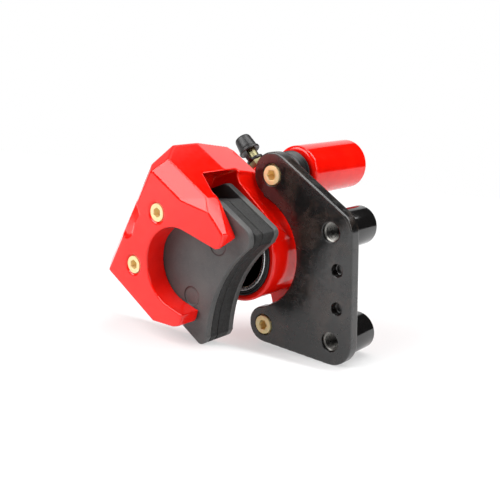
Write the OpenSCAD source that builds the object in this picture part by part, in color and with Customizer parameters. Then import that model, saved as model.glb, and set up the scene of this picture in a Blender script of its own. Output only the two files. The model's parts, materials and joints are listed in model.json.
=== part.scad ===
// Single-piston floating brake caliper for a small scooter, with its steel carrier bracket.
// Origin: midway between the two threaded mounting holes, on the front face of the bracket.
// +Z runs along the line of the mounting holes, +Y along the disc axis from fork to guides.

/* [Bracket] */
// Distance between the centres of the two threaded mounting holes
mount_spacing = 45; // [44:0.5:46]
// Thread diameter of the mounting holes
mount_thread_d = 8; // [6:1:8]
// Outer diameter of the welded mounting bosses
boss_d = 16; // [14:0.5:17]
// Distance from the front of the plate to the end of the bosses
boss_reach = 21.5; // [18:0.5:26]
// Thickness of the bracket plate
plate_t = 5.6; // [5:0.2:6]
// Diameter of the two small accessory holes
small_hole_d = 5.2; // [4:0.1:5.4]
// Depth of the two small accessory holes, which are blind
small_hole_depth = 3.1; // [2:0.1:4]

/* [Piston and cylinder] */
// Diameter of the cylinder bore
bore_d = 32; // [31.6:0.1:32]
// Outer diameter of the cylinder housing
cylinder_d = 41.2; // [41:0.2:42]
// Overall length of the piston cup
piston_length = 26; // [24:0.5:27]
// Wall thickness of the piston cup
piston_wall = 1.9; // [1.5:0.1:3]
// Radial running clearance of sliding fits
running_gap = 0.05; // [0.03:0.01:0.08]

/* [Fork and bridge] */
// Thickness of the fork plate that carries the outer pad
fork_t = 9.3; // [8.5:0.1:9.3]
// Half width of the U-shaped window in the fork
window_r = 16.4; // [14:0.2:16.6]
// Thickness of the bridge's outer wall
bridge_wall = 9.5; // [7:0.5:10]

/* [Brake pads] */
// Thickness of the steel backing plates
backing_t = 2.8; // [2.5:0.1:3.4]
// Length of the pads along the disc
pad_length = 56; // [52:0.5:56.5]
// Diameter of the two pad pins
pad_pin_d = 5; // [4.5:0.1:5.4]

/* [Guides] */
// Diameter of the slide pins
slide_pin_d = 8; // [7:0.5:8.5]
// Outer diameter of the long upper guide tube
guide_tube_d = 21.8; // [19:0.2:22]
// Outer diameter of the short lower guide tube
lower_guide_d = 17; // [16:0.5:18]

/* [Bleeder and inlet] */
// Thread diameter of the hydraulic inlet
inlet_thread_d = 10; // [8:1:10]
// Thread diameter of the bleed screw
bleed_thread_d = 6; // [6:0.5:7]
// Outer diameter of the rubber cap on the bleed screw
bleed_cap_d = 8.4; // [8:0.1:8.8]

/* [Hidden] */
$fn = 64;

// Piston axis, and the turn that points the local -x axis radially away from the disc's centre
axis_x = -41.8;
axis_z = 9.8;
disc_turn = 33.1;

// Positions along Y, from the fork back to the guides
fork_front = -44.2;
fork_back = fork_front + fork_t;
fork_play = 0.3;
pad_seam = -28;
seam_gap = 0.15;
inner_pad_back = -18.5;
rim_y = -8.9;
bore_end = 20;
cylinder_end = 26;
inlet_end = 33;
guide_front = 15.5;
upper_guide_end = 55;
lower_guide_end = 46;
pin_shoulder_end = plate_t + 2.5;

// Slide pins and ears, as [x, z] in the bracket's plane
upper_pin = [-29.5, 42.7];
lower_pin = [-34.7, -22.1];
upper_ear_r = 9.5;
lower_ear_r = 7.9;
corner_r = 9.8;
cutout_r = 24.7;
upper_hole = [0, mount_spacing / 2];
lower_hole = [0, -mount_spacing / 2];
small_holes = [[3.1, 7.6], [3.1, -8.1]];

// Slide pins: neck in the bracket, head with its hex socket, and the ring near the lower pin's end
pin_neck_d = 9.2;
pin_head_d = 8;
pin_socket = 4;
ring_groove = [30, 32.4];
ring_groove_d = 6.4;
boot_tail_d = 12.4;

// Radial and tangential places, in the caliper's own frame
pad_pins = [[19.6, 12.5], [19.7, -15]];
pad_pin_head_d = 7.2;
pad_pin_end = -3;
bridge_top = 32;
bridge_low = -28;
bridge_out = 36;
inlet_x = 4;

// Pads: their ends, the play around the lining, and the arc of their inner edge
pad_mid_t = 2;
pad_low = pad_mid_t - pad_length / 2;
pad_high = pad_mid_t + pad_length / 2;
lining_inset = 0.4;
pad_corner_run = 5.2;
pad_chord_r = 20;
pad_chord_tilt = 0.05;
pad_bulge = 4.9;

// Piston and its two seals
piston_front = rim_y - 0.5;
dust_seal_d = 36;
dust_seal_end = -6.2;
piston_seal_d = 37;
piston_seal_y = [0, 2.6];

// Bleed screw: where its axis leaves the casting, its tilt from +Z towards -X, and its rubber cap
bleed_base = [27, 18, 22.8];
bleed_tilt = 39.7;
bleed_stem_d = 5.6;
bleed_stem_end = 13;
bleed_nut = 7;
cap_foot = 7.4;
cap_top = 14.6;

red = [0.82, 0.03, 0.03];
black = [0.1, 0.1, 0.1];
pad_grey = [0.38, 0.37, 0.36];
lining_grey = [0.16, 0.15, 0.14];
zinc_yellow = [0.83, 0.68, 0.35];
steel = [0.66, 0.66, 0.68];
rubber = [0.06, 0.06, 0.06];

// ---------- helpers ----------

function arc(c, r, from, to, n = 16) =
    [for (i = [0:n]) [c[0] + r * cos(from + (to - from) * i / n), c[1] + r * sin(from + (to - from) * i / n)]];

// Outward angle of the straight edge that runs clockwise from one round end to the next
function edge_angle(c1, r1, c2, r2) =
    atan2(c2[1] - c1[1], c2[0] - c1[0]) + acos((r1 - r2) / norm(c2 - c1));

// A corner p of an outline, rounded with radius p[2]
function rounded_corner(before, p, after, n = 8) =
    let (a = [before[0] - p[0], before[1] - p[1]])
    let (b = [after[0] - p[0], after[1] - p[1]])
    let (ua = a / norm(a), ub = b / norm(b))
    let (half = acos(ua * ub) / 2)
    let (centre = [p[0], p[1]] + (ua + ub) / norm(ua + ub) * p[2] / sin(half))
    let (start = [p[0], p[1]] + ua * p[2] / tan(half) - centre)
    let (turn = (cross(a, b) > 0 ? 1 : -1) * (180 - 2 * half))
    let (first = atan2(start[1], start[0]))
    arc(centre, p[2], first, first - turn, n);

// Outline through corners [x, y, radius]
function rounded_outline(pts) =
    let (n = len(pts))
    [for (i = [0:n - 1])
        each pts[i][2] == undef
            ? [pts[i]]
            : rounded_corner(pts[(i + n - 1) % n], pts[i], pts[(i + 1) % n])];

// An outline drawn as [x, z], made solid from y0 to y1
module slab(y0, y1) {
    translate([0, y1, 0])
        rotate([90, 0, 0])
            linear_extrude(y1 - y0)
                children();
}

module rod(d, y0, y1) {
    translate([0, y0, 0])
        rotate([-90, 0, 0])
            cylinder(d = d, h = y1 - y0);
}

module cone(d0, d1, y0, y1) {
    translate([0, y0, 0])
        rotate([-90, 0, 0])
            cylinder(d1 = d0, d2 = d1, h = y1 - y0);
}

// A profile of [radius, y] points, turned about the Y axis
module turned(profile) {
    rotate([-90, 0, 0])
        rotate_extrude()
            polygon(profile);
}

module at(p) {
    translate([p[0], 0, p[1]])
        children();
}

// The caliper's own frame: -x outward from the disc centre, z along the disc's edge
module caliper_frame() {
    translate([axis_x, 0, axis_z])
        rotate([0, disc_turn, 0])
            children();
}

// Points given as radial and tangential distances, in the caliper's own frame
function rt(r, t, fillet) = fillet == undef ? [-r, t] : [-r, t, fillet];

module at_rt(p) {
    translate([-p[0], 0, p[1]])
        children();
}

// Everything beyond the plane through p that faces n, both as [radial, y, tangential]
module beyond(p, n) {
    size = 120;
    m = [-n[0], n[1], n[2]] / norm(n);
    translate([-p[0], p[1], p[2]])
        rotate([0, acos(m[2]), atan2(m[1], m[0])])
            translate([-size / 2, -size / 2, 0])
                cube(size);
}

module hex_socket(width, y0, y1) {
    translate([0, y0, 0])
        rotate([-90, 0, 0])
            cylinder(d = width / cos(30), h = y1 - y0, $fn = 6);
}

// ---------- bracket ----------

function bracket_outline() =
    let (slope = edge_angle(upper_pin, upper_ear_r, upper_hole, corner_r))
    let (base = edge_angle(lower_hole, corner_r, lower_pin, lower_ear_r))
    concat(
        arc(upper_pin, upper_ear_r, 240, slope, 24),
        arc(upper_hole, corner_r, slope, 0),
        arc(lower_hole, corner_r, 0, base - 360, 16),
        arc(lower_pin, lower_ear_r, base - 360, -265, 24),
        arc([axis_x, axis_z], cutout_r, -70.5, 72.5, 40)
    );

module bracket_plate() {
    color(black)
        difference() {
            slab(0, plate_t)
                polygon(bracket_outline());
            for (p = [upper_hole, lower_hole])
                at(p)
                    rod(mount_thread_d, -1, plate_t + 1);
            for (p = small_holes)
                at(p)
                    rod(small_hole_d, -1, small_hole_depth);
            for (p = [upper_pin, lower_pin])
                at(p)
                    rod(pin_neck_d, -1, plate_t + 1);
        }
}

module mount_boss(p) {
    bevel = 0.8;
    color(black)
        at(p)
            difference() {
                union() {
                    rod(boss_d, plate_t, boss_reach - bevel);
                    cone(boss_d, boss_d - 2 * bevel, boss_reach - bevel, boss_reach);
                }
                rod(mount_thread_d, plate_t - 1, boss_reach + 1);
            }
}

module mount_boss_upper() mount_boss(upper_hole);

module mount_boss_lower() mount_boss(lower_hole);

// ---------- slide pins ----------

module slide_pin(end, grooved) {
    color(zinc_yellow)
        difference() {
            union() {
                rod(pin_head_d, -0.5, 2);
                rod(pin_neck_d, 2, plate_t);
                rod(13, plate_t, pin_shoulder_end);
                rod(slide_pin_d, pin_shoulder_end, end - 1);
                cone(slide_pin_d, slide_pin_d - 2, end - 1, end);
            }
            hex_socket(pin_socket, -1, 3.5);
            if (grooved)
                difference() {
                    rod(slide_pin_d + 2, ring_groove[0], ring_groove[1]);
                    rod(ring_groove_d, ring_groove[0] - 1, ring_groove[1] + 1);
                }
        }
}

module slide_pin_upper() at(upper_pin) slide_pin(upper_guide_end - 8, false);

module slide_pin_lower() at(lower_pin) slide_pin(lower_guide_end - 7, true);

module slide_pin_ring() {
    color(rubber)
        at(lower_pin)
            difference() {
                rod(slide_pin_d, ring_groove[0], ring_groove[1]);
                rod(ring_groove_d, ring_groove[0] - 1, ring_groove[1] + 1);
            }
}

// Bellows between the bracket's ear and the guide tube; the tail sits in the tube's mouth
module guide_boot(outer_r) {
    inner = slide_pin_d / 2 + 0.6;
    color(rubber)
        turned([
            [inner, plate_t + 3.0], [outer_r - 1.5, plate_t + 3.0], [outer_r - 1.5, plate_t + 4.2],
            [outer_r, plate_t + 5.2], [outer_r - 2, plate_t + 6.4], [outer_r, plate_t + 7.6],
            [outer_r, plate_t + 9.6], [boot_tail_d / 2, plate_t + 9.6],
            [boot_tail_d / 2, guide_front + 2.8], [inner, guide_front + 2.8]
        ]);
}

module guide_boot_upper() at(upper_pin) guide_boot(9.4);

module guide_boot_lower() at(lower_pin) guide_boot(8);

// ---------- caliper housing ----------

// Outline of the fork and bridge, seen along Y
fork_outline = rounded_outline([
    rt(bridge_out, bridge_top), rt(3.9, bridge_top), rt(-12.1, 27.7, 0.8), rt(-13.7, 22.2, 0.8),
    rt(-12.1, 20.5), rt(4.7, 10), rt(-12.2, -13), rt(-13.5, -18.4, 2.5), rt(-10.8, -21.4, 3),
    rt(-0.2, bridge_low), rt(bridge_out, bridge_low)
]);

// Outline of the fork and bridge, seen along the disc's edge, as [x, y]
bridge_plan = [
    [-30.4, fork_front], [-bridge_out, fork_front + 5.7], [-bridge_out, 2.7], [-33, 4.8],
    [20, 4.8], [20, fork_front]
];

// Outline of the bridge, seen radially, as [y, tangential]
bridge_side = [
    [fork_front - 0.1, -27.4], [fork_front + 1.5, bridge_low], [-14, bridge_low], [5, -24], [5, 27.6],
    [-18.2, bridge_top], [fork_front - 0.1, bridge_top]
];

// Space between the fork and the cylinder that the disc and the pads fill
pad_space = [
    rt(bridge_out - bridge_wall, 20), rt(17, bridge_top + 0.01), rt(17, 50), rt(-40, 50), rt(-40, -46),
    rt(17, -46), rt(17, bridge_low), rt(bridge_out - bridge_wall, -16)
];

// Web that joins the cylinder to the bridge, kept clear of the bracket's upper ear
web_outline = rounded_outline([
    rt(0, 20), rt(8, 21.6), rt(12.9, 24.3, 5), rt(17.2, 28.5, 2), rt(17.4, bridge_top + 2),
    rt(bridge_out, bridge_top + 2), rt(bridge_out, bridge_low), rt(17, bridge_low), rt(0, -20)
]);

// Flange at the cylinder's mouth, which falls away to pass under the bracket's ear
module mouth_flange() {
    difference() {
        slab(rim_y, 4)
            polygon(rounded_outline([
                rt(-14, 14.4), rt(-9.6, 20.6, 7), rt(-4.2, 24, 6), rt(12.2, 26.5, 3), rt(17.2, 30, 2),
                rt(20, 30), rt(20, 0), rt(0, 0)
            ]));
        beyond([0, rim_y, 24.7], [-0.14, 0.5, 1]);
    }
}

// Triangular web under the top of the bridge, where the fork's upper finger starts
module finger_web() {
    translate([0, 0, pad_high + 0.6])
        linear_extrude(bridge_top - pad_high - 0.6)
            polygon([[-17.5, fork_back - 0.1], [-17.5, -31], [-16, -31], [-6, fork_back - 0.1]]);
}

module window() {
    slab(fork_front - 1, fork_back + 1)
        rotate(16.1)
            union() {
                circle(window_r);
                translate([0, -window_r])
                    square([40, 2 * window_r]);
            }
}

// Chamfers of the fork's outer face
module face_chamfers() {
    // long chamfer between the face and the top, shallower towards the upper finger
    intersection() {
        beyond([20, fork_front, 25], [0, -7, 3.5]);
        beyond([11.3, fork_front, 25.3], [15.2, -45.4, 40.9]);
    }
    // chamfer of the upper finger's back edge, wider towards its tip
    intersection() {
        beyond([-0.3, fork_back - 0.9, 30.9], [-33, 32.5, 66]);
        translate([-6, fork_front - 1, 12])
            cube([40, fork_t + 2, 30]);
    }
    // facet on the top outer corner
    beyond([29.3, fork_front, 25.8], [39.1, -32.9, 28.4]);
    // slanting end of the upper finger
    intersection() {
        beyond([-13.7, fork_front, 22.2], [-15.8, 7.1, -14.9]);
        translate([0, -60, 12])
            cube([40, 60, 30]);
    }
    // shallow cast relief on the outer edge
    intersection() {
        beyond([26, fork_front, 0], [0.38, -1, 0]);
        slab(fork_front - 1, fork_front + 6)
            polygon([
                rt(40, 10), rt(30.3, 7.4), rt(27.3, 5.6), rt(27.9, 0), rt(26.4, -4.9), rt(28, -7.2),
                rt(30.1, -8.5), rt(40, -11)
            ]);
    }
}

module fork_and_bridge() {
    difference() {
        intersection() {
            slab(fork_front, 5)
                polygon(fork_outline);
            translate([0, 0, -60])
                linear_extrude(120)
                    polygon(bridge_plan);
            translate([-60, 0, 0])
                rotate([90, 0, 90])
                    linear_extrude(120)
                        polygon(bridge_side);
        }
        slab(fork_back, rim_y)
            polygon(pad_space);
        slab(rim_y - 0.01, 6)
            difference() {
                translate([-80, -80])
                    square(160);
                polygon(web_outline);
            }
        window();
        face_chamfers();
    }
}

module cylinder_shell() {
    lip = 0.8;
    cone(cylinder_d - 2 * lip, cylinder_d, rim_y, rim_y + lip);
    rod(cylinder_d, rim_y + lip, cylinder_end - 2);
    cone(cylinder_d, cylinder_d - 4, cylinder_end - 2, cylinder_end);
    translate([inlet_x, 0, 0])
        rod(inlet_thread_d + 7, cylinder_end - 1, inlet_end);
}

// Block behind the bridge, tapering towards the cylinder
module rear_block() {
    difference() {
        slab(4, 13)
            polygon(rounded_outline([
                rt(0, 20), rt(8, 22.4), rt(18, 24.5, 3), rt(30, 19, 5), rt(32, 0, 8), rt(28, -16, 5),
                rt(16, -22, 4), rt(0, -20)
            ]));
        beyond([30, 5, 0], [5, 6, 0]);
    }
}

module guide_webs() {
    slab(guide_front, 27)
        polygon([rt(-3, 18), rt(0.5, 30), rt(13, 28), rt(13, 14)]);
    slab(guide_front + 1, 27)
        polygon([rt(-19, -7), rt(-27.5, -17.5), rt(-18, -27.5), rt(-7, -18)]);
}

module guide_tube(d, end) {
    bevel = 1;
    turned([
        [0, guide_front + 2], [d / 2 - 2.2, guide_front], [d / 2 - bevel, guide_front],
        [d / 2, guide_front + bevel], [d / 2, end - 1.6], [d / 2 - 1.6, end], [0, end]
    ]);
}

module bleed_boss() {
    bleed_frame()
        translate([0, 0, -22])
            cylinder(d = 11, h = 20.5);
}

// Frame on the bleed screw's axis, z pointing out of the casting
module bleed_frame() {
    translate([-bleed_base[0], bleed_base[1], bleed_base[2]])
        rotate([0, -bleed_tilt - disc_turn, 0])
            children();
}

upper_guide = caliper_place(upper_pin);
lower_guide = caliper_place(lower_pin);

function caliper_place(p) =
    let (dx = p[0] - axis_x, dz = p[1] - axis_z)
    [-dx * cos(disc_turn) + dz * sin(disc_turn), dx * sin(disc_turn) + dz * cos(disc_turn)];

module housing_bores() {
    // cylinder, with its mouth chamfer, dust seal seat and piston seal groove
    rod(bore_d, rim_y - 1, bore_end);
    cone(bore_d + 6, bore_d, rim_y - 1, rim_y + 2);
    rod(dust_seal_d, rim_y - 1, dust_seal_end);
    rod(piston_seal_d, piston_seal_y[0], piston_seal_y[1]);
    // hydraulic inlet and its passage
    translate([inlet_x, 0, 0]) {
        rod(inlet_thread_d, cylinder_end - 2, inlet_end + 1);
        rod(3, bore_end - 1, cylinder_end);
    }
    // bleed screw thread, seat and passage
    bleed_frame() {
        translate([0, 0, -14])
            cylinder(d = bleed_thread_d + 2 * running_gap, h = 20);
        translate([0, 0, -33])
            cylinder(d = 2, h = 20);
    }
    // pad pins: threaded in the fork, plain in the housing
    for (p = pad_pins)
        at_rt(p) {
            rod(pad_pin_head_d, fork_front - 1, fork_back - 3);
            rod(pad_pin_head_d + 1.2, fork_front - 1, fork_front + 0.7);
            rod(pad_pin_d, fork_back - 4, pad_pin_end);
        }
    // guide bores with seats for the boots
    at_rt(upper_guide) {
        rod(slide_pin_d + 2 * running_gap, guide_front - 1, upper_guide_end - 4);
        rod(boot_tail_d, guide_front - 1, guide_front + 3);
    }
    at_rt(lower_guide) {
        rod(slide_pin_d + 2 * running_gap, guide_front - 1, lower_guide_end - 3);
        rod(boot_tail_d, guide_front - 1, guide_front + 3);
    }
}

module caliper_housing() {
    color(red)
        caliper_frame()
            difference() {
                union() {
                    fork_and_bridge();
                    finger_web();
                    mouth_flange();
                    cylinder_shell();
                    rear_block();
                    guide_webs();
                    at_rt(upper_guide)
                        guide_tube(guide_tube_d, upper_guide_end);
                    at_rt(lower_guide)
                        guide_tube(lower_guide_d, lower_guide_end);
                    bleed_boss();
                }
                housing_bores();
            }
}

// ---------- pad pins and spring ----------

module pad_pin(p) {
    color(zinc_yellow)
        caliper_frame()
            at_rt(p)
                difference() {
                    union() {
                        rod(pad_pin_head_d, fork_front + 0.2, fork_back - 3);
                        rod(pad_pin_d, fork_back - 3, pad_pin_end - 0.5);
                    }
                    hex_socket(3.6, fork_front - 1, fork_front + 4);
                }
}

module pad_pin_upper() pad_pin(pad_pins[0]);

module pad_pin_lower() pad_pin(pad_pins[1]);

// Sheet-metal spring under the bridge that stops the pads rattling
module pad_spring() {
    t = 0.5;
    seat = bridge_out - bridge_wall - 0.02;
    color(steel)
        caliper_frame()
            slab(fork_back + 1, rim_y - 1.5)
                polygon([
                    rt(seat, 14), rt(seat, -12), rt(seat - t, -12), rt(seat - t, -3), rt(seat - 1, -2),
                    rt(seat - 1, 4), rt(seat - t, 5), rt(seat - t, 14)
                ]);
}

// ---------- cylinder seals and piston ----------

module dust_seal() {
    lip = bore_d / 2;
    color(rubber)
        caliper_frame()
            turned([
                [lip, rim_y - 0.3], [dust_seal_d / 2 - 0.6, rim_y - 0.3], [dust_seal_d / 2, rim_y + 0.3],
                [dust_seal_d / 2, dust_seal_end], [lip, dust_seal_end]
            ]);
}

module piston_seal() {
    color(rubber)
        caliper_frame()
            difference() {
                rod(piston_seal_d, piston_seal_y[0], piston_seal_y[1]);
                rod(bore_d, piston_seal_y[0] - 1, piston_seal_y[1] + 1);
            }
}

module piston() {
    r = bore_d / 2 - running_gap;
    inner = r - piston_wall;
    back = piston_front + piston_length;
    color(steel)
        caliper_frame()
            turned([
                [inner + 0.7, piston_front], [r - 0.5, piston_front], [r, piston_front + 0.5],
                [r, back - 1], [r - 1, back], [0, back], [0, back - 3.5], [inner - 1.5, back - 3.5],
                [inner, back - 5], [inner, piston_front + 1]
            ]);
}

// ---------- brake pads ----------

function pad_chord(t) = -pad_chord_r + pad_chord_tilt * (t - pad_mid_t);

// The arc that clears the disc's hub, from the top end of a pad to its low end
function pad_edge(n = 14) =
    let (reach = pad_length / 2 - pad_corner_run)
    [for (i = [0:n])
        let (t = pad_mid_t + reach * (1 - 2 * i / n))
        rt(pad_chord(t) + pad_bulge * (1 - pow((t - pad_mid_t) / reach, 2)), t)];

// Outline of a plate: its top outer corners, and the radius of the top corner at the hub's side
function backing_outline(shoulder = [rt(12, pad_high, 4)], corner = 2.8) = concat(
    pad_edge(),
    rounded_outline([
        rt(pad_chord(pad_low), pad_low + pad_corner_run), rt(pad_chord(pad_low), pad_low, 2.8),
        rt(13, pad_low, 4), rt(19, -20.5, 4), rt(24.8, -16.5, 3), rt(24.8, 17, 3), rt(19.5, 20, 4),
        each shoulder, rt(pad_chord(pad_high), pad_high, corner),
        rt(pad_chord(pad_high), pad_high - pad_corner_run)
    ])
);

// The lining stops short of both ends of its plate and inside the pad pins
module lining_outline() {
    intersection() {
        polygon(backing_outline());
        polygon(rounded_outline([
            rt(-30, pad_low + lining_inset + 0.8), rt(14, pad_low + lining_inset + 0.8, 4),
            rt(15.5, pad_mid_t, 20), rt(13, 21.5, 3), rt(2.5, pad_high - lining_inset, 2),
            rt(-30, pad_high - lining_inset)
        ]));
    }
}

module backing(y0, outline) {
    difference() {
        slab(y0, y0 + backing_t)
            polygon(outline);
        for (p = pad_pins)
            at_rt(p)
                rod(pad_pin_d + 0.12, y0 - 1, y0 + backing_t + 1);
    }
}

module outer_pad_plate() {
    y0 = fork_back + fork_play;
    color(pad_grey)
        caliper_frame()
            difference() {
                backing(y0, backing_outline([rt(12.5, 22.4, 3), rt(2.5, pad_high, 2.5)], 5));
                for (t = [-11.7, 15.6])
                    at_rt([-6.2, t])
                        rod(8, y0 - 1, y0 + 0.5);
            }
}

module outer_pad_lining() {
    color(lining_grey)
        caliper_frame()
            slab(fork_back + fork_play + backing_t, pad_seam - seam_gap)
                lining_outline();
}

module inner_pad_plate() {
    color(pad_grey)
        caliper_frame()
            backing(inner_pad_back - backing_t, backing_outline());
}

module inner_pad_lining() {
    color(lining_grey)
        caliper_frame()
            slab(pad_seam + seam_gap, inner_pad_back - backing_t)
                lining_outline();
}

// ---------- bleed screw and cap ----------

module bleed_screw() {
    color(zinc_yellow)
        caliper_frame()
            bleed_frame()
                difference() {
                    union() {
                        translate([0, 0, -13.5])
                            cylinder(d1 = 1.6, d2 = bleed_thread_d - 1, h = 2.2);
                        translate([0, 0, -11.3])
                            cylinder(d = bleed_thread_d, h = 10.6);
                        translate([0, 0, -0.7])
                            cylinder(d = bleed_nut / cos(30), h = 2.8, $fn = 6);
                        translate([0, 0, 2.1])
                            cylinder(d = bleed_stem_d, h = bleed_stem_end - 2.1);
                    }
                    translate([0, 0, 1])
                        cylinder(d = 1.6, h = 20);
                }
}

module bleed_cap() {
    bore = bleed_stem_d + 2 * running_gap;
    color(rubber)
        caliper_frame()
            bleed_frame()
                difference() {
                    union() {
                        translate([0, 0, cap_foot])
                            cylinder(d = bleed_cap_d + 1.4, h = 1.3);
                        translate([0, 0, cap_foot + 1.3])
                            cylinder(d1 = bleed_cap_d, d2 = bleed_cap_d - 1.2, h = cap_top - cap_foot - 1.3);
                        translate([0, 0, cap_top])
                            cylinder(d1 = bleed_cap_d - 1.2, d2 = bleed_cap_d - 2.8, h = 0.8);
                    }
                    translate([0, 0, cap_foot - 1])
                        cylinder(d = bore, h = bleed_stem_end + 1.3 - cap_foot);
                }
}

// Ring round the screw's stem, with the strap that keeps hold of the cap
module bleed_cap_strap() {
    color(rubber)
        caliper_frame()
            bleed_frame() {
                difference() {
                    translate([0, 0, 2.3])
                        cylinder(d = 7.8, h = 1.4);
                    translate([0, 0, 1])
                        cylinder(d = bleed_stem_d + 2 * running_gap, h = 5);
                }
                rotate([0, 0, 200])
                    translate([3.5, -0.9, 2.3])
                        cube([1.1, 1.8, cap_foot - 2.6]);
            }
}

// ---------- parts ----------

bracket_plate();
mount_boss_upper();
mount_boss_lower();
slide_pin_upper();
slide_pin_lower();
slide_pin_ring();
guide_boot_upper();
guide_boot_lower();
caliper_housing();
pad_pin_upper();
pad_pin_lower();
pad_spring();
dust_seal();
piston_seal();
piston();
outer_pad_plate();
outer_pad_lining();
inner_pad_plate();
inner_pad_lining();
bleed_screw();
bleed_cap();
bleed_cap_strap();
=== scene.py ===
import json
import math

import bmesh
import bpy
from mathutils import Matrix, Vector


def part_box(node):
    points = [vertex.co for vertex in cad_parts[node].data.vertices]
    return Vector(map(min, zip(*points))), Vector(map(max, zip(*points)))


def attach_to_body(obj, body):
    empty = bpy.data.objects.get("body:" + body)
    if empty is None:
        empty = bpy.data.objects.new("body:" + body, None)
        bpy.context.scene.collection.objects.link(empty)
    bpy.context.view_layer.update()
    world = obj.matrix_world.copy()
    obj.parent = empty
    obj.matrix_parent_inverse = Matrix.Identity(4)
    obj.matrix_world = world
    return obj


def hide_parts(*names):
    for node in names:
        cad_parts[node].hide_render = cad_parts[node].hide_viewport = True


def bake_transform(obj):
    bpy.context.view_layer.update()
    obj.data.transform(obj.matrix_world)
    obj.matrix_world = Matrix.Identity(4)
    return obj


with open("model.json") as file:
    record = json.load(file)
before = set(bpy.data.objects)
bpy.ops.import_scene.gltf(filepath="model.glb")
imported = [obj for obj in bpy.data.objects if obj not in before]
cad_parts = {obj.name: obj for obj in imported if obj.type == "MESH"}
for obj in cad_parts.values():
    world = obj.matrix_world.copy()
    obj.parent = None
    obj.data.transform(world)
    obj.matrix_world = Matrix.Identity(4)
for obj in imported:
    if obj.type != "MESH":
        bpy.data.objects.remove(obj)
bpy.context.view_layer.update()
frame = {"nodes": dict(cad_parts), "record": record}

MM = 0.001

# ---------- places read from the frame ----------

# The caliper's own directions: OUT points away from the disc's centre, ALONG follows the disc's edge
DISC_TURN = math.radians(33.1)
OUT = Vector((-math.cos(DISC_TURN), 0, math.sin(DISC_TURN)))
ALONG = Vector((math.sin(DISC_TURN), 0, math.cos(DISC_TURN)))
AXIAL = Vector((0, 1, 0))


def middle(node):
    low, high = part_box(node)
    return (Vector(low) + Vector(high)) / 2


def front(node):
    return Vector(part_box(node)[0]).y


def back(node):
    return Vector(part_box(node)[1]).y


def joint_named(name):
    return next(joint for joint in frame["record"]["behaviour"]["joints"] if joint["name"] == name)


PISTON_AXIS = middle("piston")
FORK_FACE = front("caliper_housing")
PLATE_FRONT = front("bracket_plate")
PLATE_BACK = back("bracket_plate")
BOSSES = {"upper": middle("mount_boss_upper"), "lower": middle("mount_boss_lower")}
BOSS_END = back("mount_boss_upper")
PINS = {"upper": middle("slide_pin_upper"), "lower": middle("slide_pin_lower")}
BLEED = joint_named("bleed_screw_turn")
BLEED_BASE = Vector(BLEED["pos_m"])
BLEED_AXIS = Vector(BLEED["axis"]).normalized()
CALIPER_FRAME = (
    Matrix.Translation((PISTON_AXIS.x, 0, PISTON_AXIS.z)) @ Matrix.Rotation(DISC_TURN, 4, "Y")
)

# ---------- sizes in millimetres; outward and along are distances from the piston's axis ----------

# Plain round dimples in the fork's face: outward, along, radius, depth and the softness of the rim
FACE_DIMPLES = ((22.4, -1.0, 2.0, 0.30, 0.45), (28.1, 22.6, 0.5, 0.25, 0.5))
# Round dimples in the outer pad's plate, each ringed with painted shade at the radius below: outward, along
PAD_DIMPLES = ((-6.2, -11.7), (-6.2, 15.6))
PAD_DIMPLE_RADIUS = 4.0
# The painted shade under the bridge comes in between these distances outward, and between these along
PAINTED_SHADE_OUT, PAINTED_SHADE_ALONG = (1, 4), (19, 22)
# Radii between which the piston's bright rim turns into the painted shade inside its cup
HOLLOW_SHADE_EDGE = (14.35, 14.5)
BORE_RADIUS = 16.0
# Bracket: how far the mouths of its holes are kept crisp
CRISP_MOUTH = 5.6
# Bleed cap, up the screw's axis: foot, top, radius, and the radius of the stem inside it
CAP_FOOT, CAP_TOP, CAP_RADIUS, STEM_RADIUS = 7.4, 15.4, 4.2, 2.85
# Strap: its middle line as (distance from the axis, height up the axis), and half of its width and thickness
STRAP_PATH = (
    (3.6, 2.95), (4.1, 2.9), (4.7, 3.2), (5.0, 4.0), (5.0, 5.4), (4.9, 6.6), (4.6, 7.4), (4.1, 8.0),
)
STRAP_HALF_WIDTH, STRAP_HALF_THICKNESS = 0.9, 0.3


def in_caliper(outward, y, along):
    """A point given in millimetres from the piston's axis, in the caliper's own directions."""
    return Vector((PISTON_AXIS.x, 0, PISTON_AXIS.z)) + MM * (outward * OUT + y * AXIAL + along * ALONG)


# ---------- materials ----------


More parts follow.
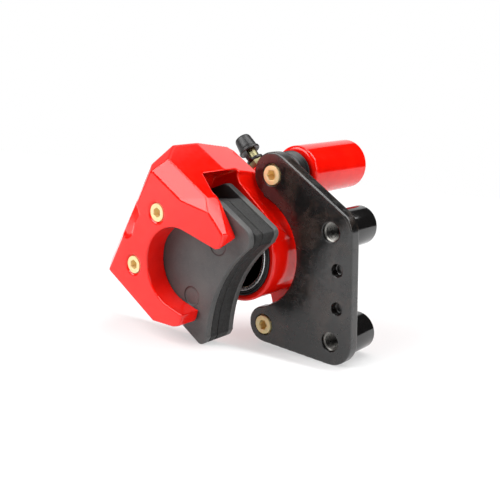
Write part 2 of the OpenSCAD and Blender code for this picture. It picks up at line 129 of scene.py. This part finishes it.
class Look:
    """A node tree round one Principled shader, built up a step at a time."""

    def __init__(self, name, rough=0.5, metallic=0.0, **constants):
        self.material = bpy.data.materials.new(name)
        self.material.use_nodes = True
        self.tree = self.material.node_tree
        self.shader = self.tree.nodes["Principled BSDF"]
        self.shader.inputs["Roughness"].default_value = rough
        self.shader.inputs["Metallic"].default_value = metallic
        for socket, value in constants.items():
            self.shader.inputs[socket.replace("_", " ")].default_value = value
        self.place = self.add("ShaderNodeTexCoord").outputs["Object"]

    def add(self, kind, links=(), **settings):
        node = self.tree.nodes.new(kind)
        for key, value in settings.items():
            setattr(node, key, value)
        for socket, value in dict(links).items():
            target = node.inputs[socket]
            if isinstance(value, bpy.types.NodeSocket):
                self.tree.links.new(value, target)
            else:
                target.default_value = value
        return node

    def noise(self, size, detail=4.0, rough=0.55, distortion=0.0):
        """Noise whose largest features measure about size millimetres."""
        return self.add("ShaderNodeTexNoise", {
            "Vector": self.place, "Scale": 1 / (size * MM), "Detail": detail,
            "Roughness": rough, "Distortion": distortion,
        }).outputs["Fac"]

    def along(self, direction):
        """Distance from the piston's axis along a direction, in metres."""
        axis = (PISTON_AXIS.x, 0, PISTON_AXIS.z)
        offset = self.add("ShaderNodeVectorMath", {0: self.place, 1: axis}, operation="SUBTRACT")
        links = {0: offset.outputs["Vector"], 1: tuple(direction)}
        return self.add("ShaderNodeVectorMath", links, operation="DOT_PRODUCT").outputs["Value"]

    def math(self, operation, first, second):
        return self.add("ShaderNodeMath", {0: first, 1: second}, operation=operation).outputs[0]

    def length(self, first, second):
        """Length of the flat vector with these two parts."""
        flat = self.add("ShaderNodeCombineXYZ", {"X": first, "Y": second}).outputs["Vector"]
        return self.add("ShaderNodeVectorMath", {0: flat}, operation="LENGTH").outputs["Value"]

    def spread(self, value, low, high, to_low=0.0, to_high=1.0):
        """The value's run from low to high, spread over to_low to to_high."""
        return self.add("ShaderNodeMapRange", {
            "Value": value, "From Min": low, "From Max": high, "To Min": to_low, "To Max": to_high,
        }).outputs["Result"]

    def mix(self, amount, first, second):
        node = self.add("ShaderNodeMix", data_type="RGBA")
        for index, value in ((0, amount), (6, first), (7, second)):
            if isinstance(value, bpy.types.NodeSocket):
                self.tree.links.new(value, node.inputs[index])
            elif index:
                node.inputs[index].default_value = (*value, 1.0)
            else:
                node.inputs[index].default_value = value
        return node.outputs[2]

    def colour(self, value):
        self.tree.links.new(value, self.shader.inputs["Base Color"])
        return self

    def rough(self, value):
        self.tree.links.new(value, self.shader.inputs["Roughness"])
        return self

    def bump(self, *layers):
        """Layers of (height, depth in micrometres), laid over each other."""
        normal = None
        for height, depth in layers:
            links = {"Height": height, "Distance": depth * 1e-6, "Strength": 1.0}
            if normal is not None:
                links["Normal"] = normal
            normal = self.add("ShaderNodeBump", links).outputs["Normal"]
        self.tree.links.new(normal, self.shader.inputs["Normal"])
        return self


def red_paint():
    """Gloss paint on a casting: orange peel, and the casting's own unevenness under it."""
    look = Look("red_paint", Specular_IOR_Level=0.5)
    tone = look.spread(look.noise(9, 3), 0.35, 0.65)
    look.colour(look.mix(tone, (0.80, 0.004, 0.001), (0.90, 0.007, 0.002)))
    look.rough(look.spread(look.noise(2.2, 5), 0.3, 0.7, 0.08, 0.15))
    return look.bump((look.noise(5, 2), 22), (look.noise(0.9, 3), 4), (look.noise(0.22, 2), 1.0)).material


def black_coat():
    """Satin black coating, mottled with brown and grey, on hot-rolled plate."""
    look = Look("black_coat", Specular_IOR_Level=0.8)
    patches = look.spread(look.noise(13, 6, 0.7, 0.8), 0.47, 0.6)
    dust = look.spread(look.noise(0.5, 4, 0.7), 0.55, 0.72)
    base = look.mix(patches, (0.0055, 0.0055, 0.0055), (0.026, 0.018, 0.0145))
    look.colour(look.mix(dust, base, (0.040, 0.036, 0.033)))
    look.rough(look.spread(look.noise(6, 6, 0.65, 0.5), 0.35, 0.65, 0.13, 0.34))
    return look.bump((look.noise(6, 3), 22), (look.noise(0.5, 4, 0.7), 4)).material


def gloss_black():
    """Smooth turned surface under the same coating."""
    look = Look("gloss_black", Specular_IOR_Level=0.8)
    look.colour(look.mix(look.noise(6, 4), (0.004, 0.004, 0.0042), (0.009, 0.008, 0.008)))
    look.rough(look.spread(look.noise(3, 4), 0.3, 0.7, 0.08, 0.17))
    return look.bump((look.noise(1.5, 3), 3)).material


def thread_steel():
    """Bare steel of the cut threads, coloured darker than the ground steel."""
    look = Look("thread_steel", metallic=1.0)
    look.colour(look.mix(look.noise(1.5, 4), (0.12, 0.116, 0.11), (0.30, 0.29, 0.27)))
    look.rough(look.spread(look.noise(1.0, 4), 0.3, 0.7, 0.24, 0.36))
    return look.bump((look.noise(0.3, 4), 4)).material


def yellow_zinc():
    """Yellow passivated zinc, which drifts between straw, pink and green."""
    look = Look("yellow_zinc", metallic=0.45)
    drift = look.spread(look.noise(2.4, 3), 0.35, 0.65)
    straw = look.mix(drift, (0.90, 0.74, 0.36), (0.92, 0.69, 0.40))
    green = look.spread(look.noise(3.7, 3, 0.5, 1.0), 0.5, 0.75)
    look.colour(look.mix(green, straw, (0.84, 0.80, 0.46)))
    look.rough(look.spread(look.noise(0.6, 5), 0.3, 0.7, 0.42, 0.56))
    return look.bump((look.noise(0.5, 4), 6)).material


def olive_zinc():
    """The bleed screw's duller, greener plating."""
    look = Look("olive_zinc", metallic=1.0)
    look.colour(look.mix(look.noise(1.6, 4), (0.16, 0.15, 0.08), (0.30, 0.27, 0.15)))
    look.rough(look.spread(look.noise(0.6, 5), 0.3, 0.7, 0.3, 0.46))
    return look.bump((look.noise(0.4, 4), 5)).material


def bright_steel():
    """Ground steel. Inside the piston's cup it is painted near black as painted shade."""
    look = Look("bright_steel", metallic=1.0)
    radius = look.length(look.along(OUT), look.along(ALONG))
    # Painted shade: the inside of the piston's cup goes near black
    hollow_shade = look.spread(radius, HOLLOW_SHADE_EDGE[0] * MM, HOLLOW_SHADE_EDGE[1] * MM, 1.0, 0.0)
    ground = look.mix(look.noise(3, 4), (0.50, 0.50, 0.51), (0.66, 0.65, 0.64))
    look.colour(look.mix(hollow_shade, ground, (0.012, 0.011, 0.011)))
    look.rough(look.spread(look.noise(1.2, 5), 0.3, 0.7, 0.2, 0.34))
    return look.bump((look.noise(0.4, 4), 1)).material


def pad_plate():
    """Matt grey powder coat with a fine sandy grain. Painted shade makes it black under the bridge and in a
    thin ring round each dimple.
    """
    look = Look("pad_plate", Specular_IOR_Level=0.5)
    clouds = look.spread(look.noise(14, 4), 0.35, 0.65)
    grain = look.spread(look.noise(0.32, 3, 0.7), 0.55, 0.8)
    base = look.mix(clouds, (0.056, 0.056, 0.057), (0.085, 0.083, 0.081))
    coat = look.mix(grain, base, (0.15, 0.147, 0.143))
    out, along = look.along(OUT), look.along(ALONG)
    # Painted shade: near black where the bridge shades the plates, and a thin dark ring at each dimple's edge
    painted_shade = look.math("MULTIPLY", look.spread(out, PAINTED_SHADE_OUT[0] * MM, PAINTED_SHADE_OUT[1] * MM),
                     look.spread(along, PAINTED_SHADE_ALONG[0] * MM, PAINTED_SHADE_ALONG[1] * MM))
    for outward, upward in PAD_DIMPLES:
        radius = look.length(look.math("SUBTRACT", out, outward * MM),
                             look.math("SUBTRACT", along, upward * MM))
        away = look.math("ABSOLUTE", look.math("SUBTRACT", radius, PAD_DIMPLE_RADIUS * MM), 0)
        painted_shade = look.math("MAXIMUM", painted_shade, look.spread(away, 0.08 * MM, 0.28 * MM, 0.85, 0.0))
    look.colour(look.mix(painted_shade, coat, (0.003, 0.003, 0.003)))
    look.rough(look.spread(look.noise(1.5, 4), 0.3, 0.7, 0.40, 0.54))
    return look.bump((look.noise(0.35, 4, 0.7), 9), (look.noise(4, 2), 8)).material


def pad_lining():
    """Moulded friction material, dusted over with the plates' grey coating."""
    look = Look("pad_lining", Specular_IOR_Level=0.35)
    grain = look.spread(look.noise(0.3, 4, 0.75), 0.45, 0.72)
    bare = look.spread(look.noise(3.5, 5, 0.65), 0.5, 0.62)
    coated = look.mix(grain, (0.015, 0.015, 0.0155), (0.045, 0.044, 0.042))
    look.colour(look.mix(bare, coated, look.mix(grain, (0.010, 0.0095, 0.009), (0.034, 0.031, 0.029))))
    look.rough(look.spread(look.noise(0.8, 4), 0.3, 0.7, 0.5, 0.7))
    return look.bump((look.noise(0.3, 5, 0.75), 45), (look.noise(2.5, 3), 40)).material


def black_rubber():
    """Smooth moulded rubber of the boots, seals and cap."""
    look = Look("black_rubber", Specular_IOR_Level=0.45)
    look.colour(look.mix(look.noise(4, 4), (0.011, 0.011, 0.0115), (0.022, 0.021, 0.021)))
    look.rough(look.spread(look.noise(1.2, 5), 0.3, 0.7, 0.3, 0.44))
    return look.bump((look.noise(0.6, 4), 6)).material


LOOKS = {
    make.__name__: make()
    for make in (red_paint, black_coat, gloss_black, thread_steel, yellow_zinc, olive_zinc, bright_steel,
                 pad_plate, pad_lining, black_rubber)
}

# ---------- ways to make a piece ----------


def new_object(name, data):
    thing = bpy.data.objects.new(name, data)
    bpy.context.scene.collection.objects.link(thing)
    return thing


def new_piece(name, mesh, look, smooth_angle=35):
    """An object with this look, shaded smooth except at edges sharper than smooth_angle, if that isn't 0."""
    piece = new_object(name, mesh)
    mesh.materials.clear()
    mesh.materials.append(LOOKS[look])
    mesh.shade_smooth()
    if smooth_angle:
        mesh.set_sharp_from_angle(angle=math.radians(smooth_angle))
    return piece


def attach(piece, body, slot, *nodes):
    """The piece moves with body and takes the place of the nodes. The slot argument is not used."""
    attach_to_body(piece, body)
    if nodes:
        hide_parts(*nodes)
    return piece


def welded_copy(node):
    """The node's mesh with its corners joined up, as a bmesh."""
    shape = bmesh.new()
    shape.from_mesh(frame["nodes"][node].data)
    bmesh.ops.remove_doubles(shape, verts=shape.verts, dist=1e-6)
    return shape


def to_mesh(shape, name):
    mesh = bpy.data.meshes.new(name)
    bmesh.ops.recalc_face_normals(shape, faces=shape.faces)
    shape.to_mesh(mesh)
    shape.free()
    return mesh


def with_modifiers(mesh, *modifiers):
    """The mesh after modifiers given as (type, {setting: value})."""
    carrier = new_object("carrier", mesh)
    for kind, settings in modifiers:
        modifier = carrier.modifiers.new(kind, kind)
        for key, value in settings.items():
            setattr(modifier, key, value)
    graph = bpy.context.evaluated_depsgraph_get()
    result = bpy.data.meshes.new_from_object(carrier.evaluated_get(graph))
    bpy.data.objects.remove(carrier)
    return result


def softened(node, voxel, passes, faces, turn=None):
    """A node's shape rebuilt as one even skin whose edges are rounded, as a casting's or a coating's are."""
    turn = turn or Matrix.Identity(4)
    shape = welded_copy(node)
    bmesh.ops.transform(shape, matrix=turn.inverted(), verts=shape.verts)
    mesh = with_modifiers(
        to_mesh(shape, node),
        ("REMESH", {"mode": "VOXEL", "voxel_size": voxel * MM, "adaptivity": 0.0}),
        ("SMOOTH", {"factor": 0.5, "iterations": passes}),
    )
    if len(mesh.polygons) * 2 > faces:
        mesh = with_modifiers(mesh, ("DECIMATE", {"ratio": faces / (len(mesh.polygons) * 2)}))
    mesh.transform(turn)
    mesh.name = node
    return mesh


def machined(node, edge, angle=30):
    """A node's shape with a small bevel on every sharp edge."""
    shape = welded_copy(node)
    bmesh.ops.dissolve_limit(shape, angle_limit=math.radians(0.5), verts=shape.verts, edges=shape.edges)
    sharp = [e for e in shape.edges if len(e.link_faces) == 2 and e.calc_face_angle() > math.radians(angle)]
    bmesh.ops.bevel(shape, geom=sharp, offset=edge * MM, segments=2, profile=0.7, affect="EDGES",
                    clamp_overlap=True)
    return to_mesh(shape, node)


def skin(shape, rows):
    """Closes a bar whose four-cornered sections are the rows of vertices."""
    for here, there in zip(rows, rows[1:]):
        for k in range(4):
            shape.faces.new((here[k], here[(k + 1) % 4], there[(k + 1) % 4], there[k]))
    shape.faces.new(rows[0])
    shape.faces.new(rows[-1][::-1])


def lathe(name, outline, base, axis=AXIAL, steps=96):
    """A closed outline of (radius, height) in millimetres, turned about axis."""
    axis = axis.normalized()
    side = axis.orthogonal().normalized()
    other = axis.cross(side)
    shape = bmesh.new()
    rings = []
    for i in range(steps):
        angle = 2 * math.pi * i / steps
        spoke = side * math.cos(angle) + other * math.sin(angle)
        rings.append([shape.verts.new(base + MM * (spoke * r + axis * h)) for r, h in outline])
    count = len(outline)
    for i in range(steps):
        here, there = rings[i], rings[(i + 1) % steps]
        for k in range(count):
            after = (k + 1) % count
            if outline[k][0] < 1e-6 and outline[after][0] < 1e-6:
                continue
            shape.faces.new((here[k], here[after], there[after], there[k]))
    bmesh.ops.remove_doubles(shape, verts=shape.verts, dist=1e-7)
    return to_mesh(shape, name)


def rounded(outline, radius, steps=4):
    """The outline with its corners rounded. Each is (r, h, radius), or (r, h) for the usual radius."""
    smooth = []
    count = len(outline)
    for i, corner in enumerate(outline):
        here = Vector(corner[:2])
        size = corner[2] if len(corner) > 2 else radius
        before = Vector(outline[i - 1][:2]) - here
        after = Vector(outline[(i + 1) % count][:2]) - here
        size = min(size, 0.48 * before.length, 0.48 * after.length)
        if size < 1e-4:
            smooth.append(tuple(here))
            continue
        start, end = here + before.normalized() * size, here + after.normalized() * size
        for k in range(steps + 1):
            t = k / steps
            point = start * (1 - t) ** 2 + here * 2 * t * (1 - t) + end * t ** 2
            smooth.append(tuple(point))
    return smooth


# ---------- casting and bracket ----------


def stamp(mesh, centre, radius, depth, soft):
    """Presses a plain round dimple into the skin at centre, along the Y axis."""
    for vertex in mesh.vertices:
        offset = Vector((vertex.co.x - centre.x, vertex.co.z - centre.z))
        if abs(vertex.co.y - centre.y) < 1.2 * MM and offset.length < (radius + soft) * MM:
            fade = min(1, max(0, ((radius + soft) * MM - offset.length) / (soft * MM)))
            vertex.co.y += depth * MM * fade * fade * (3 - 2 * fade)


def make_housing():
    mesh = softened("caliper_housing", voxel=0.36, passes=5, faces=190000, turn=CALIPER_FRAME)
    for outward, along, radius, depth, soft in FACE_DIMPLES:
        stamp(mesh, in_caliper(outward, FORK_FACE / MM, along), radius, depth, soft)
    attach(new_piece("housing_casting", mesh, "red_paint", 0), "caliper", "red_paint", "caliper_housing")


def hole_centres():
    """Centres of the bracket's threaded and accessory holes."""
    centres = []
    for mount in frame["record"]["mounts"]:
        if mount["kind"] == "bolt_pattern":
            place, pitch = Vector(mount["pos_m"]), mount["dims"]["spacing_y_mm"] * MM
            centres += [place + Vector((0, 0, pitch / 2)), place - Vector((0, 0, pitch / 2))]
    return centres


def rolled(mesh, holes, keep, passes, faces):
    """The outer edges rounded further by more smoothing, which leaves the mouths of the holes crisp."""
    carrier = new_object("carrier", mesh)
    group = carrier.vertex_groups.new(name="outer")
    free = [
        vertex.index for vertex in mesh.vertices
        if all(math.hypot(vertex.co.x - hole.x, vertex.co.z - hole.z) > keep * MM for hole in holes)
    ]
    group.add(free, 1.0, "REPLACE")
    smooth = carrier.modifiers.new("smooth", "SMOOTH")
    smooth.vertex_group, smooth.iterations, smooth.factor = "outer", passes, 0.5
    thin = carrier.modifiers.new("thin", "DECIMATE")
    thin.ratio = min(1, faces / (len(mesh.polygons) * 2))
    result = bpy.data.meshes.new_from_object(carrier.evaluated_get(bpy.context.evaluated_depsgraph_get()))
    bpy.data.objects.remove(carrier)
    return result


def make_bracket():
    mesh = softened("bracket_plate", voxel=0.3, passes=2, faces=1000000)
    mesh = rolled(mesh, [*PINS.values(), *hole_centres()], keep=CRISP_MOUTH, passes=26, faces=80000)
    attach(new_piece("bracket_plate_coated", mesh, "black_coat", 0), "bracket", "black_coat", "bracket_plate")
    for side in BOSSES:
        node = f"mount_boss_{side}"
        piece = new_piece(f"{node}_turned", machined(node, 0.25), "gloss_black")
        attach(piece, "bracket", "black_coat", node)


def thread_helix(name, base, axis, major, pitch, length, low, high, tip, steps=48):
    """A helical ridge in a hole. Its foot at the wall runs from low to high, in pitches, and it stands tip
    millimetres proud of the wall."""
    side = axis.orthogonal().normalized()
    other = axis.cross(side)
    shape = bmesh.new()
    rows = []
    count = int(length / pitch * steps)
    for i in range(count + 1):
        turn = i / steps
        height = pitch * turn
        fade = max(0.02, min(1, i / (0.5 * steps), (count - i) / (0.5 * steps)))
        spoke = side * math.cos(2 * math.pi * turn) + other * math.sin(2 * math.pi * turn)
        crest = major - tip * fade
        section = ((major, low), (crest, 0.15 * low), (crest, 0.15 * high), (major, high))
        rows.append([
            shape.verts.new(base + MM * (spoke * radius + axis * (height + pitch * rise)))
            for radius, rise in section
        ])
    skin(shape, rows)
    return to_mesh(shape, name)


def make_threads():
    for side, centre in BOSSES.items():
        base = Vector((centre.x, PLATE_FRONT + 1.1 * MM, centre.z))
        length = (BOSS_END - PLATE_FRONT) / MM - 2.2
        mesh = thread_helix(f"mount_thread_{side}", base, AXIAL, major=4.05, pitch=1.25, length=length,
                            low=-0.26, high=0.26, tip=0.70)
        attach(new_piece(f"mount_thread_{side}", mesh, "thread_steel", 30), "bracket", "black_coat")
    inlet = next(m for m in frame["record"]["mounts"] if m["name"] == "hydraulic_inlet")
    mouth = Vector(inlet["pos_m"])
    mesh = thread_helix("inlet_thread", mouth - AXIAL * 1.0 * MM, -AXIAL, major=5.05, pitch=1.0, length=6.5,
                        low=-0.3, high=0.3, tip=0.58)
    attach(new_piece("inlet_thread", mesh, "bright_steel", 30), "caliper", "red_paint")


# ---------- pins, boots, seals ----------


def make_pins():
    for node, body in (("slide_pin_upper", "bracket"), ("slide_pin_lower", "bracket"),
                       ("pad_pin_upper", "caliper"), ("pad_pin_lower", "caliper")):
        piece = new_piece(f"{node}_plated", machined(node, 0.22), "yellow_zinc")
        attach(piece, body, "yellow_zinc", node)


def make_boots():
    """Ribbed bellows from the ear to the mouth of the guide tube."""
    for side, widest in (("upper", 9.3), ("lower", 7.9)):
        start = PLATE_BACK / MM + 2.6
        tail = back(f"guide_boot_{side}") / MM
        outline = rounded([
            (4.7, start), (widest - 1.3, start), (widest - 0.9, start + 1.2), (widest - 2.2, start + 1.9),
            (widest - 0.1, start + 2.9), (widest - 2.2, start + 3.9), (widest - 0.1, start + 4.9),
            (widest - 1.6, start + 5.7), (widest - 1.2, start + 6.9), (6.15, start + 6.9), (6.15, tail),
            (4.7, tail), (4.7, start + 6.0), (widest - 2.2, start + 4.9), (widest - 3.2, start + 3.9),
            (widest - 2.0, start + 2.9), (widest - 3.2, start + 1.9), (widest - 2.6, start + 1.0),
            (4.7, start + 0.9),
        ], 0.35)
        centre = Vector((PINS[side].x, 0, PINS[side].z))
        piece = new_piece(f"guide_boot_{side}_bellows", lathe(f"guide_boot_{side}", outline, centre),
                          "black_rubber")
        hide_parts(f"guide_boot_{side}")
        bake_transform(piece)


def make_cylinder_parts():
    centre = Vector((PISTON_AXIS.x, 0, PISTON_AXIS.z))
    face = front("dust_seal") / MM
    inside = back("dust_seal") / MM
    bore = BORE_RADIUS
    outline = rounded([
        (bore + 0.05, face + 0.9), (bore + 0.1, face + 0.15), (bore + 0.6, face + 0.05),
        (bore + 0.8, face + 0.5), (bore + 1.2, face + 0.5), (bore + 1.4, face), (bore + 1.8, face + 0.1),
        (bore + 1.98, face + 0.8),
        (bore + 1.98, inside), (bore + 0.05, inside),
    ], 0.15)
    piece = new_piece("dust_seal_lip", lathe("dust_seal", outline, centre), "black_rubber")
    attach(piece, "caliper", "black_rubber", "dust_seal")
    low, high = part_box("piston")
    radius = (high[0] - low[0]) / 2 / MM
    rim, foot = low[1] / MM, high[1] / MM
    outline = rounded([
        (radius - 1.5, rim, 0.4), (radius, rim, 0.5), (radius, rim + 3.0, 0), (radius - 0.25, rim + 3.2, 0),
        (radius - 0.25, rim + 4.4, 0), (radius, rim + 4.6, 0), (radius, foot, 0.9), (0, foot, 0),
        (0, foot - 3.5, 0), (radius - 3.4, foot - 3.5, 1.2), (radius - 1.9, foot - 5, 1.0),
        (radius - 1.9, rim + 1.2, 0.3),
    ], 0.2)
    piece = new_piece("piston_cup", lathe("piston", outline, centre, steps=128), "bright_steel")
    attach(piece, "piston", "bright_steel", "piston")


def make_pads():
    for node, body, look, faces in (
        ("outer_pad_plate", "caliper", "pad_plate", 26000),
        ("inner_pad_plate", "inner_pad", "pad_plate", 20000),
        ("outer_pad_lining", "caliper", "pad_lining", 16000),
        ("inner_pad_lining", "inner_pad", "pad_lining", 20000),
    ):
        mesh = softened(node, voxel=0.28, passes=3, faces=faces, turn=CALIPER_FRAME)
        attach(new_piece(f"{node}_skin", mesh, look, 0), body, look, node)


# ---------- bleeder ----------


def make_bleeder():
    attach(new_piece("bleed_screw_plated", machined("bleed_screw", 0.18), "olive_zinc"),
           "bleed_screw", "yellow_zinc", "bleed_screw")
    foot, top, radius, stem = CAP_FOOT, CAP_TOP, CAP_RADIUS, STEM_RADIUS
    outline = rounded([
        (stem, foot + 0.5), (radius + 0.5, foot, 0.25), (radius + 0.7, foot + 0.7),
        (radius + 0.5, foot + 1.3),
        (radius - 0.1, foot + 1.5, 0.3), (radius, foot + 2.4), (radius - 0.5, top - 1.0, 0.7),
        (radius - 1.2, top - 0.1, 0.6), (0, top, 0), (0, top - 1.3, 0), (stem - 0.3, top - 1.4),
        (stem, top - 2.4),
    ], 0.3)
    mesh = lathe("bleed_cap", outline, BLEED_BASE, BLEED_AXIS, 72)
    attach(new_piece("bleed_cap_rubber", mesh, "black_rubber"), "bleed_cap", "black_rubber", "bleed_cap")
    make_strap(stem)


def make_strap(stem):
    """The ring round the screw's stem, and the strap that runs from it up to the cap."""
    ring = rounded([(stem + 0.02, 2.3), (3.9, 2.3), (3.9, 3.6), (stem + 0.02, 3.6)], 0.35)
    strap = bmesh.new()
    strap.from_mesh(lathe("ring", ring, BLEED_BASE, BLEED_AXIS, 56))
    side = ALONG * 0.2 - AXIAL
    side = (side - BLEED_AXIS * side.dot(BLEED_AXIS)).normalized()
    across = BLEED_AXIS.cross(side)
    rows = []
    for index, (out, up) in enumerate(STRAP_PATH):
        before, after = STRAP_PATH[max(0, index - 1)], STRAP_PATH[min(len(STRAP_PATH) - 1, index + 1)]
        run = Vector((after[0] - before[0], after[1] - before[1])).normalized()
        normal = Vector((-run.y, run.x)) * STRAP_HALF_THICKNESS
        row = []
        for sideways, lift in ((-1, -1), (1, -1), (1, 1), (-1, 1)):
            point = side * (out + normal.x * lift) + BLEED_AXIS * (up + normal.y * lift)
            point = point + across * (sideways * STRAP_HALF_WIDTH)
            row.append(strap.verts.new(BLEED_BASE + MM * point))
        rows.append(row)
    skin(strap, rows)
    piece = new_piece("bleed_cap_strap_rubber", to_mesh(strap, "strap"), "black_rubber")
    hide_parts("bleed_cap_strap")
    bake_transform(piece)


def make_hidden_nodes():
    """Pieces inside the caliper keep the CAD shape and only get their materials."""
    for node, look in (("pad_spring", "bright_steel"), ("piston_seal", "black_rubber"),
                       ("slide_pin_ring", "black_rubber")):
        piece = frame["nodes"][node]
        for slot in piece.material_slots:
            slot.material = LOOKS[look]


# ---------- stage ----------

CAMERA_AT = Vector((0.1723, -0.2455, 0.0819))
CAMERA_AZIMUTH = math.radians(41.1)
CAMERA_ELEVATION = math.radians(12.49)
CAMERA_ROLL = math.radians(-0.677)
CAMERA_LENS = 56.16
# Brightness of the pale wall and of the rest of the room, and the slope of the wall's edge
WALL, ROOM = 0.95, 0.012
WALL_SLOPE = 0.31
# Ends of the floor along Y, and the floor's own glow near the object
FLOOR_BEHIND, FLOOR_AHEAD = 0.45, -2.5
FLOOR_REACH, FLOOR_STEPS = 2.5, 160
FLOOR_GLOW = 0.5


def make_camera():
    data = bpy.data.cameras.new("camera")
    data.lens = CAMERA_LENS
    data.sensor_width = 36
    data.clip_start, data.clip_end = 0.01, 20
    camera = new_object("camera", data)
    a, e = CAMERA_AZIMUTH, CAMERA_ELEVATION
    behind = Vector((math.sin(a) * math.cos(e), -math.cos(a) * math.cos(e), math.sin(e)))
    right = Vector((math.cos(a), math.sin(a), 0))
    up = behind.cross(right)
    right, up = (
        right * math.cos(CAMERA_ROLL) + up * math.sin(CAMERA_ROLL),
        up * math.cos(CAMERA_ROLL) - right * math.sin(CAMERA_ROLL),
    )
    camera.matrix_world = Matrix((
        (right.x, up.x, behind.x, CAMERA_AT.x),
        (right.y, up.y, behind.y, CAMERA_AT.y),
        (right.z, up.z, behind.z, CAMERA_AT.z),
        (0, 0, 0, 1),
    ))
    bpy.context.scene.camera = camera


def softbox(name, place, width, height, radiance):
    """An area light at place, given from the piston's axis, that faces the object and shows in its gloss."""
    data = bpy.data.lights.new(name, "AREA")
    data.shape = "RECTANGLE"
    data.size, data.size_y = width, height
    data.energy = radiance * math.pi * width * height
    light = new_object(name, data)
    light.visible_camera = False
    light.location = PISTON_AXIS + Vector(place)
    light.rotation_mode = "QUATERNION"
    light.rotation_quaternion = Vector(place).to_track_quat("Z", "Y")


def make_world():
    """White wherever the camera looks past the floor. Round the object it is a dark room whose left side
    is a pale wall."""
    world = bpy.data.worlds.new("studio")
    bpy.context.scene.world = world
    world.use_nodes = True
    tree = world.node_tree

    def add(kind, values=(), **settings):
        node = tree.nodes.new(kind)
        for key, value in settings.items():
            setattr(node, key, value)
        for socket, value in values:
            if isinstance(value, bpy.types.NodeSocket):
                tree.links.new(value, node.inputs[socket])
            else:
                node.inputs[socket].default_value = value
        return node

    def ramp(value, low, high, to_low, to_high):
        return add("ShaderNodeMapRange", (
            ("Value", value), ("From Min", low), ("From Max", high), ("To Min", to_low), ("To Max", to_high),
        ), interpolation_type="SMOOTHSTEP").outputs["Result"]

    place = add("ShaderNodeTexCoord").outputs["Generated"]
    parts = add("ShaderNodeSeparateXYZ", (("Vector", place),)).outputs
    leftward = add("ShaderNodeMath", ((0, parts["Y"]), (1, WALL_SLOPE), (2, parts["X"])),
                   operation="MULTIPLY_ADD").outputs[0]
    wall = ramp(leftward, -0.02, 0.02, WALL, ROOM)
    behind = ramp(parts["Y"], 0.25, 0.9, 0.12, 1.0)
    room = add("ShaderNodeMath", ((0, wall), (1, behind)), operation="MULTIPLY").outputs[0]
    seen = add("ShaderNodeLightPath").outputs["Is Camera Ray"]
    strength = add("ShaderNodeMath", ((0, room), (1, seen)), operation="MAXIMUM").outputs[0]
    background = tree.nodes["Background"]
    background.inputs["Color"].default_value = (1, 1, 1, 1)
    tree.links.new(strength, background.inputs["Strength"])


def make_floor():
    """The white sweep the caliper rests on. It rises a little under the pads, which rest on it too."""
    lowest = Vector(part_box("bracket_plate")[0]).z
    pad = Vector(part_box("outer_pad_plate")[0])
    shape = bmesh.new()
    rows = []
    for i in range(FLOOR_STEPS + 1):
        u = 2 * i / FLOOR_STEPS - 1
        y = (FLOOR_BEHIND if u > 0 else -FLOOR_AHEAD) * math.copysign(abs(u) ** 3, u)
        rise = min(1, max(0, (PLATE_FRONT - y) / (PLATE_FRONT - pad.y)))
        height = lowest + (pad.z - lowest) * rise * rise * (3 - 2 * rise)
        rows.append([shape.verts.new((x, y, height)) for x in (-FLOOR_REACH, FLOOR_REACH)])
    for here, there in zip(rows, rows[1:]):
        shape.faces.new((here[0], here[1], there[1], there[0]))
    mesh = to_mesh(shape, "floor")
    look = Look("floor_white", rough=0.9, Specular_IOR_Level=0.0)
    look.colour(look.mix(look.noise(300, 2), (0.43, 0.43, 0.43), (0.45, 0.45, 0.45)))
    look.shader.inputs["Emission Color"].default_value = (1, 1, 1, 1)
    distance = look.add("ShaderNodeVectorMath", {"Vector": look.place}, operation="LENGTH").outputs["Value"]
    glow = look.spread(distance, 0.25, 0.6, FLOOR_GLOW, 1.0)
    look.tree.links.new(glow, look.shader.inputs["Emission Strength"])
    floor = new_object("floor", mesh)
    mesh.materials.append(look.material)
    mesh.shade_smooth()


def make_stage():
    bpy.context.scene.view_settings.view_transform = "Standard"
    make_camera()
    make_world()
    make_floor()
    softbox("key_softbox", (-0.236, -0.472, 0.533), 0.66, 0.62, 5.6)
    softbox("top_softbox", (0.13, 0.10, 0.33), 0.26, 0.40, 4.6)
    softbox("fill_softbox", (0.74, -0.06, 0.29), 0.40, 0.40, 4.0)


make_housing()
make_bracket()
make_threads()
make_pins()
make_boots()
make_cylinder_parts()
make_pads()
make_bleeder()
make_hidden_nodes()
make_stage()
